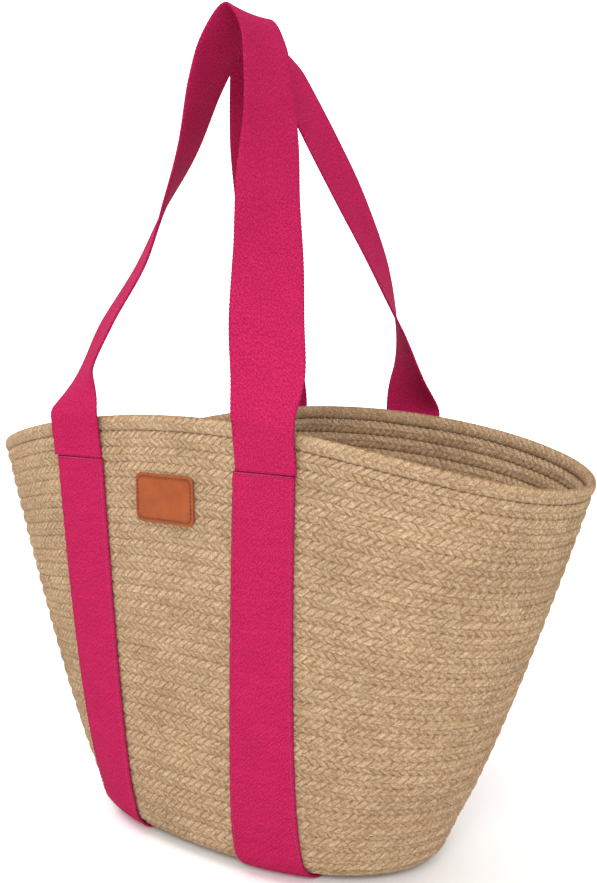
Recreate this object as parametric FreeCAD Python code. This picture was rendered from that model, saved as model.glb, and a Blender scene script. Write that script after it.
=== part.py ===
import FreeCAD, Part
import math
import os

# Beach bag: a jute braid coiled into a boat-shaped basket, with webbing handles.
# Millimetres. +X runs along the mouth, -Y is the front with the leather patch, +Z is up.
# The origin is the middle of the underside, on the surface that the bag stands on.

# Basket
RIM_HALF_LENGTH = 254.0
RIM_HALF_DEPTH = 110.0
BASE_HALF_LENGTH = 157.0
BASE_HALF_DEPTH = 92.0
RIM_HEIGHT_MIDDLE = 320.0
RIM_HEIGHT_ENDS = 279.0
EDGE_RADIUS = 26.0
BRAID_THICKNESS = 6.0
BRAID_PITCH = 11.0
LENGTH_FLARE = 0.82
DEPTH_FLARE = 0.6
BASE_CORNER_X = 2.5
BASE_CORNER_Y = 1.9
RIM_CORNER_X = 4.4
RIM_CORNER_Y = 2.1
SECTION_POINTS = 40
WALL_LEVELS = [12.0, 35.0, 70.0, 115.0, 170.0, 230.0, 299.0]
EDGE_ANGLES = [0.0, 22.5, 45.0, 67.5]

# Webbing
WEBBING_WIDTH = 50.0
WEBBING_THICKNESS = 2.0
SEWN_GAP = 0.1
WEBBING_SHIFT = -5.0
BAND_X_AT_FRONT_RIM = 88.0
BAND_X_AT_REAR_RIM = 66.0
BAND_X_AT_BASE = 73.0
BAND_TOP = 288.0
HANDLE_GAP = 0.4

# Free webbing loops: points of one leg from the cross seam to the top of the arch, as
# half spread X, lean toward the middle plane, rise above the seam and turn about the leg.
SEAM_Y = 110.6
FRONT_RIGHT_LEG = [
    (88.0, 0.0, 0.0, 0.0),
    (88.0, 0.0, 20.0, 0.0),
    (88.0, 0.0, 34.0, 3.0),
    (83.0, 11.0, 60.0, 23.0),
    (73.0, 22.0, 95.0, 40.0),
    (59.0, 41.0, 140.0, 56.0),
    (50.0, 51.0, 185.0, 67.0),
    (40.0, 66.0, 230.0, 78.0),
    (33.0, 71.0, 270.0, 86.0),
    (25.5, 74.5, 298.0, 90.0),
    (10.0, 76.0, 317.0, 90.0),
]
FRONT_LEFT_LEG = [
    (88.0, 0.0, 0.0, 0.0),
    (88.0, 0.0, 20.0, 0.0),
    (88.0, 0.0, 34.0, 3.5),
    (88.0, 11.0, 60.0, 32.0),
    (77.0, 22.0, 95.0, 33.0),
    (59.0, 41.0, 140.0, 37.0),
    (44.0, 51.0, 185.0, 47.0),
    (34.0, 66.0, 230.0, 63.0),
    (23.0, 71.0, 270.0, 76.0),
    (10.5, 74.5, 298.0, 86.0),
    (-10.0, 76.0, 317.0, 90.0),
]
REAR_RIGHT_LEG = [
    (66.0, 0.0, 0.0, 0.0),
    (66.0, 0.0, 20.0, 0.0),
    (66.0, 0.0, 34.0, 2.5),
    (67.0, 11.0, 62.0, 34.0),
    (63.0, 20.0, 100.0, 57.0),
    (56.0, 39.0, 145.0, 76.0),
    (41.0, 59.0, 195.0, 87.0),
    (24.0, 76.0, 240.0, 90.0),
    (6.0, 87.0, 280.0, 90.0),
    (-4.0, 92.0, 298.0, 90.0),
    (-16.0, 95.0, 309.0, 90.0),
]
REAR_LEFT_LEG = [
    (66.0, 0.0, 0.0, 0.0),
    (66.0, 0.0, 20.0, 0.0),
    (66.0, 0.0, 34.0, 2.5),
    (67.0, 11.0, 62.0, 34.0),
    (63.0, 20.0, 100.0, 57.0),
    (56.0, 39.0, 145.0, 76.0),
    (49.0, 59.0, 195.0, 87.0),
    (42.0, 76.0, 240.0, 90.0),
    (33.0, 87.0, 280.0, 90.0),
    (26.0, 92.0, 298.0, 90.0),
    (16.0, 95.0, 309.0, 90.0),
]
STEPS_PER_SPAN = 4

# Leather patch and thread
PATCH_WIDTH = 54.0
PATCH_HEIGHT = 34.0
PATCH_THICKNESS = 1.6
PATCH_CORNER = 5.0
PATCH_CENTRE_X = -6.0
PATCH_CENTRE_Z = 262.0
THREAD = 0.5
STITCH_LENGTH = 2.2
STITCH_PITCH = 3.1
STITCH_INSET = 2.2
CROSS_SEAM_DROP = 1.6

UNDERSIDE = WEBBING_THICKNESS + SEWN_GAP
FLARE_HEIGHT_MIDDLE = RIM_HEIGHT_MIDDLE - EDGE_RADIUS
FLARE_HEIGHT_ENDS = RIM_HEIGHT_ENDS - EDGE_RADIUS


def vector(x, y, z):
    return FreeCAD.Vector(x, y, z)


def blend(low, high, share):
    return low + (high - low) * share


def half_sizes(height):
    """Half length, half depth and corner exponents of the basket at a height."""
    along = max(0.0, (height - EDGE_RADIUS) / FLARE_HEIGHT_ENDS)
    across = max(0.0, (height - EDGE_RADIUS) / FLARE_HEIGHT_MIDDLE)
    half_length = blend(BASE_HALF_LENGTH, RIM_HALF_LENGTH, along ** LENGTH_FLARE)
    half_depth = blend(BASE_HALF_DEPTH, RIM_HALF_DEPTH, across ** DEPTH_FLARE)
    corner_x = blend(BASE_CORNER_X, RIM_CORNER_X, min(1.0, across))
    corner_y = blend(BASE_CORNER_Y, RIM_CORNER_Y, min(1.0, across))
    return half_length, half_depth, corner_x, corner_y


def outline(half_length, half_depth, corner_x, corner_y):
    """Evenly spaced points round a rounded lens, as (x, y) pairs."""
    dense = []
    for step in range(721):
        angle = math.radians(step * 0.5)
        c = math.cos(angle)
        s = math.sin(angle)
        x = half_length * math.copysign(abs(c) ** (2.0 / corner_x), c)
        y = half_depth * math.copysign(abs(s) ** (2.0 / corner_y), s)
        dense.append((x, y))
    run = [0.0]
    for before, after in zip(dense, dense[1:]):
        run.append(run[-1] + math.dist(before, after))
    points = []
    place = 0
    for step in range(SECTION_POINTS):
        target = run[-1] * step / SECTION_POINTS
        while run[place + 1] < target:
            place += 1
        share = (target - run[place]) / (run[place + 1] - run[place])
        before = dense[place]
        after = dense[place + 1]
        points.append((blend(before[0], after[0], share), blend(before[1], after[1], share)))
    return points


def section_wire(height, grow, level):
    """The basket's outline at a height, moved outward by grow and drawn at Z = level."""
    half_length, half_depth, corner_x, corner_y = half_sizes(height)
    points = outline(half_length + grow, half_depth + grow, corner_x, corner_y)
    curve = Part.BSplineCurve()
    curve.interpolate([vector(x, y, level) for x, y in points], True)
    return Part.Wire([curve.toShape()])


def basket_solid(offset):
    """Closed solid bounded by the basket's outer face, moved outward by offset."""
    radius = EDGE_RADIUS + offset
    centre = EDGE_RADIUS + UNDERSIDE
    wires = []
    for degrees in EDGE_ANGLES:
        angle = math.radians(degrees)
        grow = radius * math.sin(angle) - EDGE_RADIUS
        wires.append(section_wire(EDGE_RADIUS, grow, centre - radius * math.cos(angle)))
    for rise in WALL_LEVELS:
        wires.append(section_wire(EDGE_RADIUS + rise, offset, centre + rise))
    return Part.makeLoft(wires, True, True)


def below_rim(drop):
    """Everything under the rim's curve, lowered by drop."""
    reach = RIM_HALF_LENGTH + 40.0
    fall = (RIM_HEIGHT_MIDDLE - RIM_HEIGHT_ENDS) * (reach / RIM_HALF_LENGTH) ** 2
    depth = RIM_HALF_DEPTH + 60.0
    middle = vector(0, -depth, RIM_HEIGHT_MIDDLE - drop)
    left = vector(-reach, -depth, RIM_HEIGHT_MIDDLE - drop - fall)
    right = vector(reach, -depth, RIM_HEIGHT_MIDDLE - drop - fall)
    arc = Part.Arc(left, middle, right).toShape()
    floor_left = vector(-reach, -depth, -20.0)
    floor_right = vector(reach, -depth, -20.0)
    edges = [
        arc,
        Part.makeLine(right, floor_right),
        Part.makeLine(floor_right, floor_left),
        Part.makeLine(floor_left, left),
    ]
    face = Part.Face(Part.Wire(edges))
    return face.extrude(vector(0, 2.0 * depth, 0))


def basket_shell():
    return basket_solid(0.0).cut(basket_solid(-BRAID_THICKNESS))


def base_coil(shell):
    """Flat floor of the basket, one braid thick."""
    top = UNDERSIDE + BRAID_THICKNESS
    slab = Part.makeBox(800, 600, top + 10.0, vector(-400, -300, -10.0))
    return shell.common(slab)


def wall_coil(shell):
    top = UNDERSIDE + BRAID_THICKNESS
    slab = Part.makeBox(800, 600, top + 10.0, vector(-400, -300, -10.0))
    return shell.cut(slab).common(below_rim(BRAID_PITCH))


def rim_coil(shell):
    return shell.common(below_rim(0.0)).cut(below_rim(BRAID_PITCH))


def band_centre_x(side, face, height):
    """Middle of a band on the front (-1) or the back (+1) of the basket, at a height."""
    rim_x = BAND_X_AT_FRONT_RIM if face < 0 else BAND_X_AT_REAR_RIM
    share = max(0.0, height - EDGE_RADIUS) / (RIM_HEIGHT_MIDDLE - EDGE_RADIUS)
    return WEBBING_SHIFT + side * blend(BAND_X_AT_BASE, rim_x, share)


def band_slab(side, face):
    """Slanted slab, one webbing wide, that cuts a band out of a skin round half of the basket."""
    half = WEBBING_WIDTH / 2.0
    corners = []
    for height, level in ((0.0, -5.0), (EDGE_RADIUS, EDGE_RADIUS), (BAND_TOP, BAND_TOP)):
        corners.append(vector(band_centre_x(side, face, height) + half, 0, level))
    for height, level in ((BAND_TOP, BAND_TOP), (EDGE_RADIUS, EDGE_RADIUS), (0.0, -5.0)):
        corners.append(vector(band_centre_x(side, face, height) - half, 0, level))
    profile = Part.Face(Part.makePolygon(corners + [corners[0]]))
    return profile.extrude(vector(0, face * 200.0, 0))


def band(side):
    """Webbing sewn up the front, under the base and up the back."""
    skin = basket_solid(SEWN_GAP + WEBBING_THICKNESS).cut(basket_solid(SEWN_GAP))
    return skin.common(band_slab(side, -1).fuse(band_slab(side, 1)).removeSplitter())


def spline_between(points, index, share, opposite):
    """Smooth curve through the points of a leg, running on into the opposite leg at the top."""
    before = points[max(index - 1, 0)]
    here = points[index]
    there = points[index + 1]
    if index + 2 < len(points):
        beyond = points[index + 2]
    else:
        spread, lean, rise, turn = opposite[-2]
        beyond = (-spread, lean, rise, 180.0 - turn)
    value = []
    for p0, p1, p2, p3 in zip(before, here, there, beyond):
        slope_in = (p2 - p0) / 2.0
        slope_out = (p3 - p1) / 2.0
        s2 = share * share
        s3 = s2 * share
        value.append(
            (2 * s3 - 3 * s2 + 1) * p1 + (s3 - 2 * s2 + share) * slope_in
            + (3 * s2 - 2 * s3) * p2 + (s3 - s2) * slope_out
        )
    return tuple(value)


def leg_stations(points, opposite):
    """Stations along a leg: (half spread, lean, rise, turn)."""
    stations = []
    for index in range(len(points) - 1):
        for step in range(STEPS_PER_SPAN):
            stations.append(spline_between(points, index, step / STEPS_PER_SPAN, opposite))
    stations.append(points[-1])
    return stations


def handle(right_leg, left_leg, side):
    """Free webbing loop: flat against the wall at the seams, turned edgewise at the top."""
    seam_y = SEAM_Y + HANDLE_GAP + WEBBING_THICKNESS / 2.0
    seam_z = BAND_TOP + 0.3
    right = leg_stations(right_leg, left_leg)
    left = leg_stations(left_leg, right_leg)
    left = [(-x, lean, rise, 180.0 - turn) for x, lean, rise, turn in reversed(left[:-1])]
    path = []
    turns = []
    for spread, lean, rise, turn in right + left:
        path.append(vector(WEBBING_SHIFT + spread, side * (seam_y - lean), seam_z + rise))
        turns.append(math.radians(turn))
    wires = []
    for index, centre in enumerate(path):
        ahead = path[min(index + 1, len(path) - 1)]
        behind = path[max(index - 1, 0)]
        along = (ahead - behind).normalize()
        if index == 0 or index == len(path) - 1:
            along = vector(0, 0, along.z).normalize()
        across = vector(math.cos(turns[index]), -side * math.sin(turns[index]), 0)
        across = (across - along * across.dot(along)).normalize()
        out = along.cross(across).normalize()
        wide = across * (WEBBING_WIDTH / 2.0)
        thick = out * (WEBBING_THICKNESS / 2.0)
        corners = [centre - wide - thick, centre + wide - thick, centre + wide + thick, centre - wide + thick]
        wires.append(Part.makePolygon(corners + [corners[0]]))
    return Part.makeLoft(wires, True, True)


def wall_face_y(x, height):
    """Distance of the outer face from the middle plane at one place on the front or back."""
    half_length, half_depth, corner_x, corner_y = half_sizes(height - UNDERSIDE)
    share = 1.0 - abs(x / half_length) ** corner_x
    return half_depth * share ** (1.0 / corner_y)


def upright(shape, side, x, z, out):
    """Stand a flat shape, drawn on X and Y, against the front (-1) or back (+1) wall."""
    slope = (wall_face_y(x, z + 10.0) - wall_face_y(x, z - 10.0)) / 20.0
    lean = math.degrees(math.atan(slope))
    turn = (wall_face_y(x + 10.0, z) - wall_face_y(x - 10.0, z)) / 20.0
    yaw = math.degrees(math.atan(turn))
    shape.rotate(vector(0, 0, 0), vector(1, 0, 0), 90.0)
    shape.rotate(vector(0, 0, 0), vector(1, 0, 0), lean)
    shape.rotate(vector(0, 0, 0), vector(0, 0, 1), -yaw)
    shape.translate(vector(x, -(wall_face_y(x, z) + out), z))
    if side > 0:
        shape = shape.mirror(vector(0, 0, 0), vector(0, 1, 0))
    return shape


def leather_patch():
    half_w = PATCH_WIDTH / 2.0
    half_h = PATCH_HEIGHT / 2.0
    plate = Part.makeBox(PATCH_WIDTH, PATCH_HEIGHT, PATCH_THICKNESS, vector(-half_w, -half_h, 0))
    edges = [e for e in plate.Edges if abs(e.Vertexes[0].Z - e.Vertexes[1].Z) > 1.0]
    plate = plate.makeFillet(PATCH_CORNER, edges)
    return upright(plate, -1, PATCH_CENTRE_X, PATCH_CENTRE_Z, 0.3)


def patch_stitching():
    """Thread stitches round the patch, just inside its edge."""
    stitches = []
    half_w = PATCH_WIDTH / 2.0 - STITCH_INSET
    half_h = PATCH_HEIGHT / 2.0 - STITCH_INSET
    rows = int((2.0 * half_w - 6.0) / STITCH_PITCH)
    columns = int((2.0 * half_h - 6.0) / STITCH_PITCH)
    level = PATCH_THICKNESS + 0.02
    for edge in (-1, 1):
        for step in range(rows):
            x = (step - (rows - 1) / 2.0) * STITCH_PITCH
            corner = vector(x - STITCH_LENGTH / 2.0, edge * half_h - THREAD / 2.0, level)
            stitches.append(Part.makeBox(STITCH_LENGTH, THREAD, THREAD, corner))
        for step in range(columns):
            y = (step - (columns - 1) / 2.0) * STITCH_PITCH
            corner = vector(edge * half_w - THREAD / 2.0, y - STITCH_LENGTH / 2.0, level)
            stitches.append(Part.makeBox(THREAD, STITCH_LENGTH, THREAD, corner))
    group = Part.makeCompound(stitches)
    return upright(group, -1, PATCH_CENTRE_X, PATCH_CENTRE_Z, 0.3)


def cross_seam(side, face):
    """Row of stitches across a band, where its sewn part ends."""
    stitches = []
    height = BAND_TOP - CROSS_SEAM_DROP
    out = SEWN_GAP + WEBBING_THICKNESS + 0.15
    count = int((WEBBING_WIDTH - 4.0) / STITCH_PITCH)
    for step in range(count):
        x = band_centre_x(side, face, height) + (step - (count - 1) / 2.0) * STITCH_PITCH
        box = Part.makeBox(STITCH_LENGTH, THREAD, THREAD, vector(-STITCH_LENGTH / 2.0, 0, 0))
        stitches.append(upright(box, face, x, height, out))
    return Part.makeCompound(stitches)


def edge_seam(side, edge):
    """Stitches that hold one long edge of a band, on the front and the back."""
    stitches = []
    out = SEWN_GAP + WEBBING_THICKNESS + 0.15
    inset = WEBBING_WIDTH / 2.0 - STITCH_INSET
    height = EDGE_RADIUS + 12.0
    while height < BAND_TOP - 5.0:
        for face in (-1, 1):
            x = band_centre_x(side, face, height) + edge * inset
            box = Part.makeBox(THREAD, STITCH_LENGTH, THREAD, vector(-THREAD / 2.0, 0, 0))
            stitches.append(upright(box, face, x, height, out))
        height += 2.0 * STITCH_PITCH
    return Part.makeCompound(stitches)


os.makedirs("parts", exist_ok=True)
braid_shell = basket_shell()
nodes = {
    "base_coil": base_coil(braid_shell),
    "wall_coil": wall_coil(braid_shell),
    "rim_coil": rim_coil(braid_shell),
    "left_band": band(-1),
    "right_band": band(1),
    "front_handle": handle(FRONT_RIGHT_LEG, FRONT_LEFT_LEG, -1),
    "rear_handle": handle(REAR_RIGHT_LEG, REAR_LEFT_LEG, 1),
    "leather_patch": leather_patch(),
    "patch_stitching": patch_stitching(),
    "cross_seam_front_left": cross_seam(-1, -1),
    "cross_seam_front_right": cross_seam(1, -1),
    "cross_seam_rear_left": cross_seam(-1, 1),
    "cross_seam_rear_right": cross_seam(1, 1),
    "edge_seam_left_band_outer": edge_seam(-1, -1),
    "edge_seam_left_band_inner": edge_seam(-1, 1),
    "edge_seam_right_band_inner": edge_seam(1, -1),
    "edge_seam_right_band_outer": edge_seam(1, 1),
}
for name, shape in nodes.items():
    print(name, shape.isValid(), len(shape.Solids), round(shape.Volume, 1))
    shape.exportStep("parts/" + name + ".step")
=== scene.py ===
import math

import bpy
import numpy as np
from mathutils import Matrix, Vector


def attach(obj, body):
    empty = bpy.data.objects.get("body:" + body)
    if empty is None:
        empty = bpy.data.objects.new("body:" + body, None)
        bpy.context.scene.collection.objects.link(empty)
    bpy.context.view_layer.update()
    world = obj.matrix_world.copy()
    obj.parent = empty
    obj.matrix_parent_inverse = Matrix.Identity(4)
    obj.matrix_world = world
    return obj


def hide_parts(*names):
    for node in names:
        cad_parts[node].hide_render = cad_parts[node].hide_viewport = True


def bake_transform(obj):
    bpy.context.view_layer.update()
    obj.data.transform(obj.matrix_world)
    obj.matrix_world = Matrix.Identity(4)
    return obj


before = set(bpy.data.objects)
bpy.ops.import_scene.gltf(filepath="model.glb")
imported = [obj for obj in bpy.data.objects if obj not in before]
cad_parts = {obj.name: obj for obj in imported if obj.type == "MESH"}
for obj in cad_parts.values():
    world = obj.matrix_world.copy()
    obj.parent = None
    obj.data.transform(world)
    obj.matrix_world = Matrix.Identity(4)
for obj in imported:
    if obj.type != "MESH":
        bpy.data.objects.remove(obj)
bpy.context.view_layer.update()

# Everything is worked out in millimetres and put into the meshes in metres.
MM = 0.001

# Basket, as in the CAD model
RIM_HALF_LENGTH = 254.0
RIM_HALF_DEPTH = 110.0
BASE_HALF_LENGTH = 157.0
BASE_HALF_DEPTH = 92.0
RIM_HEIGHT_MIDDLE = 320.0
RIM_HEIGHT_ENDS = 279.0
EDGE_RADIUS = 26.0
BRAID_THICKNESS = 6.0
LENGTH_FLARE = 0.82
DEPTH_FLARE = 0.6
BASE_CORNER_X = 2.5
BASE_CORNER_Y = 1.9
RIM_CORNER_X = 4.4
RIM_CORNER_Y = 2.1
UNDERSIDE = 2.1
EDGE_TURN = 67.5
EDGE_BLEND = 12.0
RIM_FALL_POWER = 0.6
MEAN_RIM_FALL = 12.0

# Braid
BASE_TURNS = 6
EDGE_TURNS = 3
WALL_TURNS = 26
COURSES_PER_PIECE = 3
BASE_SEGMENT = 64.0
SEGMENT_TRIM = 0.999
STRAND = 6.2
STEPS_PER_STRAND = 6
GROOVE = 0.7
ROUNDNESS = 0.95
# The next two set the painted shade in the braid's grooves between strands and between its courses.
GROOVE_SHADE = 0.45
HOLLOW_SHADE_POWER = 0.8
STRAND_SLANT = 0.95
STRAND_UNEVEN = 0.14
EDGE_SCALLOP = 0.03
COURSE_OVERLAP = 0.05
LONG_WAVE = 0.035
SHORT_WAVE = 0.03
JOG_START = 0.43
JOG_LENGTH = 0.06

# Webbing
WIDTH = 50.0
THICKNESS = 2.0
SEWN_GAP = 0.1
WEBBING_SHIFT = -5.0
BAND_X_AT_FRONT_RIM = 88.0
BAND_X_AT_REAR_RIM = 66.0
BAND_X_AT_BASE = 73.0
SEAM_HEIGHT = 286.4
SEAM_Y = 110.6
HANDLE_GAP = 0.4
BAND_TOP = 288.0
SELVEDGE = 0.9
ROW_STEP = 1.6
SETTLE_HEIGHT = 26.0
LOOP_CUP = 1.6
LOOP_WOBBLE = 0.5
WOBBLE_LENGTH = 31.0
SELVEDGE_NUB = 0.15
BAND_RIDGE = 0.22
BAND_RIDGE_PITCH = 11.2

# Free webbing loops: half spread X, lean toward the middle, rise above the seam, turn
FRONT_RIGHT_LEG = [
    (88.0, 0.0, 0.0, 0.0),
    (88.0, 0.0, 20.0, 0.0),
    (88.0, 0.0, 34.0, 3.0),
    (83.0, 11.0, 60.0, 23.0),
    (73.0, 22.0, 95.0, 40.0),
    (59.0, 41.0, 140.0, 56.0),
    (50.0, 51.0, 185.0, 67.0),
    (40.0, 66.0, 230.0, 78.0),
    (33.0, 71.0, 270.0, 86.0),
    (25.5, 74.5, 298.0, 90.0),
    (10.0, 76.0, 317.0, 90.0),
]
FRONT_LEFT_LEG = [
    (88.0, 0.0, 0.0, 0.0),
    (88.0, 0.0, 20.0, 0.0),
    (88.0, 0.0, 34.0, 3.5),
    (88.0, 11.0, 60.0, 32.0),
    (77.0, 22.0, 95.0, 33.0),
    (59.0, 41.0, 140.0, 37.0),
    (44.0, 51.0, 185.0, 47.0),
    (34.0, 66.0, 230.0, 63.0),
    (23.0, 71.0, 270.0, 76.0),
    (10.5, 74.5, 298.0, 86.0),
    (-10.0, 76.0, 317.0, 90.0),
]
REAR_RIGHT_LEG = [
    (66.0, 0.0, 0.0, 0.0),
    (66.0, 0.0, 20.0, 0.0),
    (66.0, 0.0, 34.0, 2.5),
    (67.0, 11.0, 62.0, 34.0),
    (63.0, 20.0, 100.0, 57.0),
    (56.0, 39.0, 145.0, 76.0),
    (41.0, 59.0, 195.0, 87.0),
    (24.0, 76.0, 240.0, 90.0),
    (6.0, 87.0, 280.0, 90.0),
    (-4.0, 92.0, 298.0, 90.0),
    (-16.0, 95.0, 309.0, 90.0),
]
REAR_LEFT_LEG = [
    (66.0, 0.0, 0.0, 0.0),
    (66.0, 0.0, 20.0, 0.0),
    (66.0, 0.0, 34.0, 2.5),
    (67.0, 11.0, 62.0, 34.0),
    (63.0, 20.0, 100.0, 57.0),
    (56.0, 39.0, 145.0, 76.0),
    (49.0, 59.0, 195.0, 87.0),
    (42.0, 76.0, 240.0, 90.0),
    (33.0, 87.0, 280.0, 90.0),
    (26.0, 92.0, 298.0, 90.0),
    (16.0, 95.0, 309.0, 90.0),
]

# Leather patch
PATCH_WIDTH = 54.0
PATCH_HEIGHT = 34.0
PATCH_THICKNESS = 1.6
PATCH_CORNER = 5.0
PATCH_CENTRE_X = -6.0
PATCH_CENTRE_Z = 262.0
PATCH_OUT = 0.35

# Thread
STITCH_LENGTH = 2.2
STITCH_PITCH = 3.1
STITCH_INSET = 2.2
STITCH_WANDER = 0.12
CROSS_SEAM_DROP = 1.2
EDGE_SEAM_END = 4.0
CROSS_THREAD_RADIUS = 0.36
EDGE_THREAD_RADIUS = 0.3
PATCH_THREAD_RADIUS = 0.42
PATCH_STITCH_PITCH = 2.9
PATCH_STITCH_SHARE = 0.72
PATCH_LINE_POINTS = 480


# --- the basket's surface -------------------------------------------------------------


def half_sizes(height):
    """Half length, half depth and corner exponents at heights above the underside."""
    height = np.asarray(height, float)
    along = np.maximum(0.0, (height - EDGE_RADIUS) / (RIM_HEIGHT_ENDS - EDGE_RADIUS))
    across = np.maximum(0.0, (height - EDGE_RADIUS) / (RIM_HEIGHT_MIDDLE - EDGE_RADIUS))
    length = BASE_HALF_LENGTH + (RIM_HALF_LENGTH - BASE_HALF_LENGTH) * along ** LENGTH_FLARE
    depth = BASE_HALF_DEPTH + (RIM_HALF_DEPTH - BASE_HALF_DEPTH) * across ** DEPTH_FLARE
    share = np.minimum(1.0, across)
    corner_x = BASE_CORNER_X + (RIM_CORNER_X - BASE_CORNER_X) * share
    corner_y = BASE_CORNER_Y + (RIM_CORNER_Y - BASE_CORNER_Y) * share
    return length, depth, corner_x, corner_y


def ring_sizes(level, out=0.0):
    """Height and outline of one ring. Levels 0 to 1 turn the bottom edge, above 1 climb the wall in mm."""
    centre = EDGE_RADIUS + UNDERSIDE
    angle = np.radians(EDGE_TURN) * np.clip(level, 0.0, 1.0)
    radius = EDGE_RADIUS + out
    z_edge = centre - radius * np.cos(angle)
    grow = radius * np.sin(angle) - EDGE_RADIUS
    length, depth, corner_x, corner_y = half_sizes(EDGE_RADIUS)
    rise = np.maximum(0.0, level - 1.0)
    z_top = centre + EDGE_BLEND
    z = z_edge + rise
    share = np.clip((z - z_edge) / (z_top - z_edge), 0.0, 1.0)
    up_length, up_depth, up_x, up_y = half_sizes(np.maximum(z, z_top) - UNDERSIDE)
    half_length = (length + grow) * (1.0 - share) + (up_length + out) * share
    half_depth = (depth + grow) * (1.0 - share) + (up_depth + out) * share
    ring_x = corner_x * (1.0 - share) + up_x * share
    ring_y = corner_y * (1.0 - share) + up_y * share
    return z, half_length, half_depth, ring_x, ring_y


def outline(half_length, half_depth, corner_x, corner_y, count):
    """Evenly spaced points round a rounded lens, first and last the same."""
    angle = np.linspace(0.0, 2.0 * np.pi, OUTLINE_SAMPLES)
    c = np.cos(angle)
    s = np.sin(angle)
    x = half_length * np.sign(c) * np.abs(c) ** (2.0 / corner_x)
    y = half_depth * np.sign(s) * np.abs(s) ** (2.0 / corner_y)
    run = np.concatenate([[0.0], np.cumsum(np.hypot(np.diff(x), np.diff(y)))])
    even = np.linspace(0.0, run[-1], count)
    return np.interp(even, run, x), np.interp(even, run, y), run[-1]


OUTLINE_SAMPLES = 2881
TABLE_COLUMNS = 1441
EDGE_LEVELS = np.linspace(0.0, 1.0, 13)
WALL_STEP = 2.0
WALL_SPAN = 312.0
LEVELS = np.concatenate([EDGE_LEVELS, 1.0 + np.arange(WALL_STEP, WALL_SPAN + WALL_STEP, WALL_STEP)])


def surface_table():
    """The outer face as a table of rings: X, Y, Z and the length round each ring."""
    xs, ys, zs, around = [], [], [], []
    for level in LEVELS:
        z, length, depth, corner_x, corner_y = ring_sizes(level)
        x, y, run = outline(length, depth, corner_x, corner_y, TABLE_COLUMNS)
        xs.append(x)
        ys.append(y)
        zs.append(float(z))
        around.append(run)
    return np.array(xs), np.array(ys), np.array(zs), np.array(around)


TABLE_X, TABLE_Y, TABLE_Z, TABLE_AROUND = surface_table()
EDGE_TOP_Z = TABLE_Z[len(EDGE_LEVELS) - 1]


def look_up(table, row, column):
    """Bilinear read of a table, the columns wrapping round."""
    column = np.mod(column, 1.0) * (TABLE_COLUMNS - 1)
    row = np.clip(row, 0.0, table.shape[0] - 1.001)
    i = row.astype(int)
    j = np.minimum(column.astype(int), TABLE_COLUMNS - 2)
    fi = row - i
    fj = column - j
    low = table[i, j] * (1 - fj) + table[i, j + 1] * fj
    high = table[i + 1, j] * (1 - fj) + table[i + 1, j + 1] * fj
    return low * (1 - fi) + high * fi


def surface(turn, u):
    """Outer face at a height counted in braid turns from the middle of the base, u round the bag."""
    turn = np.asarray(turn, float)
    u = np.asarray(u, float)
    edge_last = len(EDGE_LEVELS) - 1
    base_share = np.clip(turn / BASE_TURNS, 0.0, 1.0)
    edge_row = np.clip((turn - BASE_TURNS) / EDGE_TURNS, 0.0, 1.0) * edge_last
    t = np.maximum(0.0, (turn - BASE_TURNS - EDGE_TURNS) / (WALL_TURNS + 1))
    x = look_up(TABLE_X, edge_row, u)
    fall = (RIM_HEIGHT_MIDDLE - RIM_HEIGHT_ENDS) * t ** RIM_FALL_POWER
    for _ in range(3):
        z = EDGE_TOP_Z + (RIM_HEIGHT_MIDDLE - EDGE_TOP_Z) * t - fall * (x / RIM_HALF_LENGTH) ** 2
        row = np.where(t > 0.0, edge_last + (z - EDGE_TOP_Z) / WALL_STEP, edge_row)
        x = look_up(TABLE_X, row, u)
    y = look_up(TABLE_Y, row, u)
    z = np.where(t > 0.0, z, np.interp(edge_row, np.arange(len(TABLE_Z)), TABLE_Z))
    segment = np.clip(x, -BASE_SEGMENT, BASE_SEGMENT) * SEGMENT_TRIM
    x = segment + (x - segment) * base_share
    y = y * base_share
    return np.stack([x, y, z], -1)


NORMAL_STEP_ROUND = 0.0015
NORMAL_STEP_UP = 0.12


def surface_frame(turn, u):
    """Point and outward normal on the outer face."""
    here = surface(turn, u)
    along = surface(turn, u + NORMAL_STEP_ROUND) - surface(turn, u - NORMAL_STEP_ROUND)
    up = surface(turn + NORMAL_STEP_UP, u) - surface(turn - NORMAL_STEP_UP, u)
    normal = np.cross(along, up)
    normal /= np.linalg.norm(normal, axis=-1, keepdims=True) + 1e-12
    return here, normal


def around_at(turn):
    """Length round the basket at a turn."""
    if turn < BASE_TURNS:
        return 4.0 * BASE_SEGMENT + (TABLE_AROUND[0] - 4.0 * BASE_SEGMENT) * turn / BASE_TURNS
    t = max(0.0, (turn - BASE_TURNS - EDGE_TURNS) / (WALL_TURNS + 1))
    z = EDGE_TOP_Z + (RIM_HEIGHT_MIDDLE - MEAN_RIM_FALL - EDGE_TOP_Z) * t
    return float(np.interp(z, TABLE_Z, TABLE_AROUND))


# --- meshes -------------------------------------------------------------------------


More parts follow.
